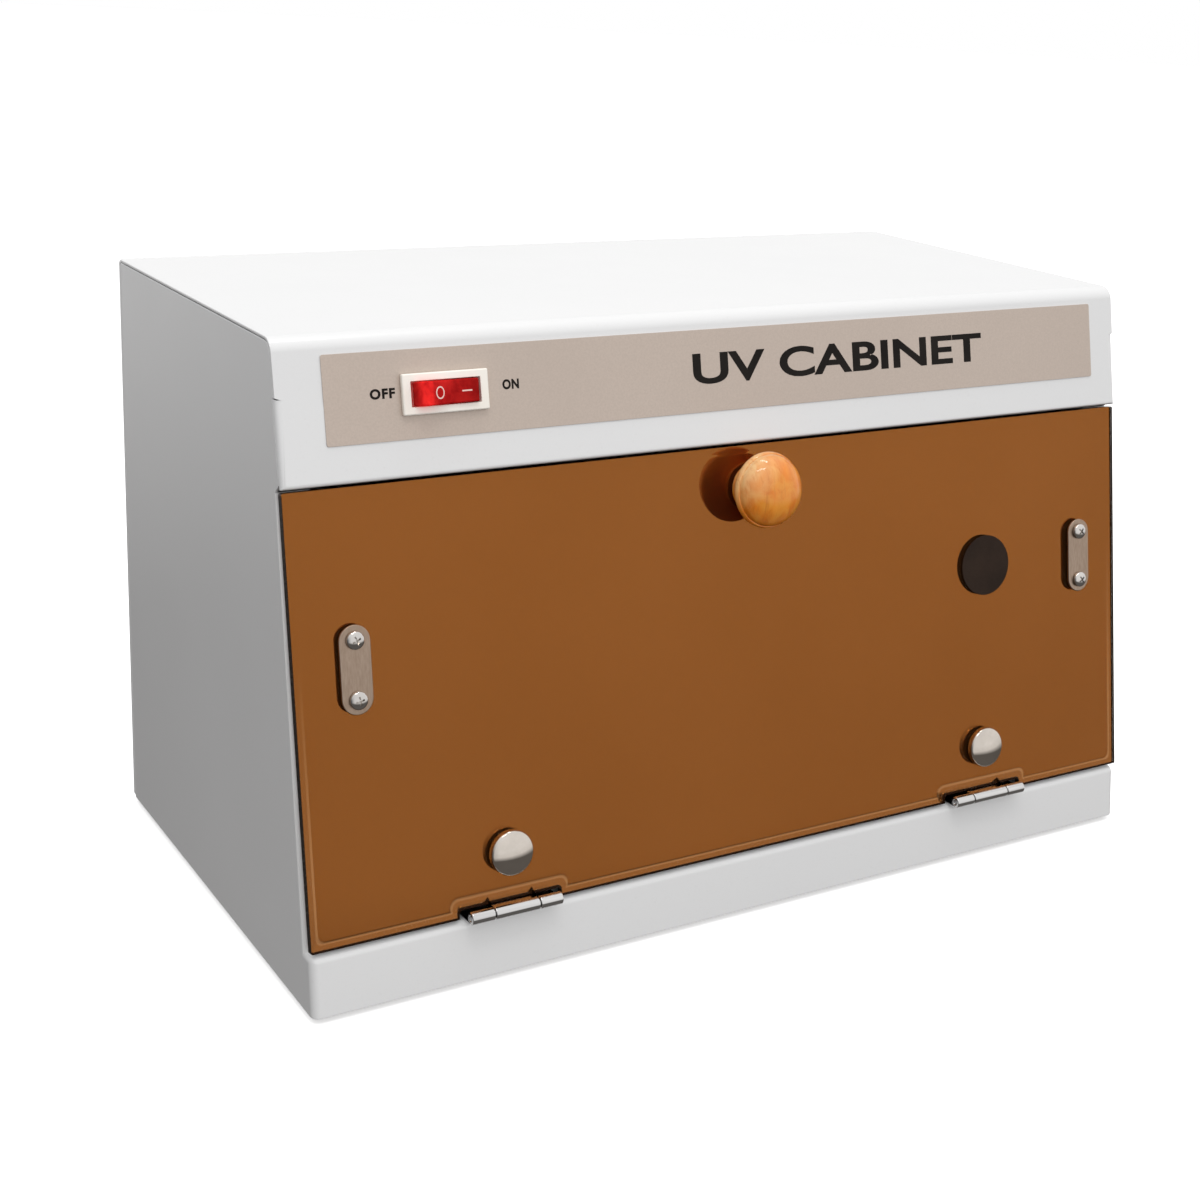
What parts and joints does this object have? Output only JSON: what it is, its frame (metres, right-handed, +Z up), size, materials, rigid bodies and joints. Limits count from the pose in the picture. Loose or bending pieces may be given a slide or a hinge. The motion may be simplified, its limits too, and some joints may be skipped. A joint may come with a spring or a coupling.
{
  "type": "uv sterilizer cabinet",
  "caption": "Countertop ultraviolet sterilizer cabinet with a drop-down amber door, wooden knob, magnetic catches, rocker switch, tube lamp and wire rack.",
  "frame": {"origin": "on the table, under the centre of the whole object with its door closed", "axes": "+X to the right along the front, +Y to the back, +Z up"},
  "size_m": [0.36, 0.202, 0.223],
  "materials": {
    "white_paint": "gloss white stove enamel on folded sheet steel",
    "zinc_steel": "bright zinc plate",
    "aluminium": "bright rolled aluminium",
    "black_rubber": "matt black rubber",
    "label_film": "satin grey-beige printed film",
    "cream_plastic": "cream moulded plastic",
    "brass": "plain brass blade",
    "red_lens": "clear red moulded plastic, lit from inside",
    "amber_acrylic": "clear amber-brown acrylic sheet, polished",
    "varnished_wood": "turned hardwood under clear gloss varnish",
    "nickel": "satin nickel plate",
    "chrome": "bright chrome plate",
    "brown_film": "dark brown adhesive film",
    "brown_plastic": "brown moulded plastic",
    "ferrite": "sintered ferrite between steel poles",
    "quartz_glass": "clear ultraviolet-passing glass",
    "white_plastic": "white moulded plastic",
    "core_steel": "varnished steel laminations",
    "winding_tape": "yellow insulating tape over a copper winding",
    "grey_cable": "grey plastic-covered hook-up wire"
  },
  "bodies": {
    "cabinet": {"cabinet_body": "white_paint", "top_hood_cover": "white_paint", "rear_panel": "white_paint", "ceiling_panel": "zinc_steel", "hinge_pin_left": "zinc_steel", "hinge_pin_right": "zinc_steel", "hinge_base_screw_left": "zinc_steel", "hinge_base_screw_right": "zinc_steel", "rear_screw_low_left": "zinc_steel", "rear_screw_low_right": "zinc_steel", "rear_screw_high_left": "zinc_steel", "rear_screw_high_right": "zinc_steel", "lamp_reflector": "aluminium", "starter": "aluminium", "lamp_cap_left": "aluminium", "lamp_cap_right": "aluminium", "foot_rear_left": "black_rubber", "foot_rear_right": "black_rubber", "foot_front_left": "black_rubber", "foot_front_right": "black_rubber", "cord_bushing": "black_rubber", "label_plate": "label_film", "switch_housing": "cream_plastic", "switch_terminal_1": "brass", "switch_terminal_2": "brass", "hinge_base_leaf_left": "chrome", "hinge_base_leaf_right": "chrome", "wire_rack": "chrome", "catch_housing_left": "brown_plastic", "catch_housing_right": "brown_plastic", "catch_magnet_left": "ferrite", "catch_magnet_right": "ferrite", "lamp_tube": "quartz_glass", "lamp_holder_left": "white_plastic", "lamp_holder_right": "white_plastic", "starter_holder": "white_plastic", "ballast_core": "core_steel", "ballast_coil": "winding_tape", "wire_switch_to_ballast": "grey_cable", "wire_ballast_to_lamp": "grey_cable", "wire_starter_to_lamp": "grey_cable"},
    "door": {"door_panel": "amber_acrylic", "door_knob": "varnished_wood", "knob_screw": "zinc_steel", "inspection_disc": "brown_film", "outer_plate_left": "nickel", "outer_plate_right": "nickel", "strike_plate_left": "nickel", "strike_plate_right": "nickel", "plate_screw_low_left": "chrome", "plate_screw_low_right": "chrome", "plate_screw_high_left": "chrome", "plate_screw_high_right": "chrome", "hinge_cap_left": "chrome", "hinge_cap_right": "chrome", "hinge_nut_left": "zinc_steel", "hinge_nut_right": "zinc_steel", "hinge_door_leaf_left": "chrome", "hinge_door_leaf_right": "chrome"},
    "rocker": {"switch_rocker": "red_lens"}
  },
  "joints": [
    {"name": "door_swing", "type": "hinge", "parent": "cabinet", "child": "door", "pos_m": [0, -0.09865, 0.0263], "axis": [1, 0, 0], "range_deg": [0, 103.5]},
    {"name": "rocker_tilt", "type": "hinge", "parent": "cabinet", "child": "rocker", "pos_m": [-0.1221, -0.06596, 0.20261], "axis": [0, -0.2068, -0.9784], "range_deg": [0, 22]}
  ]
}
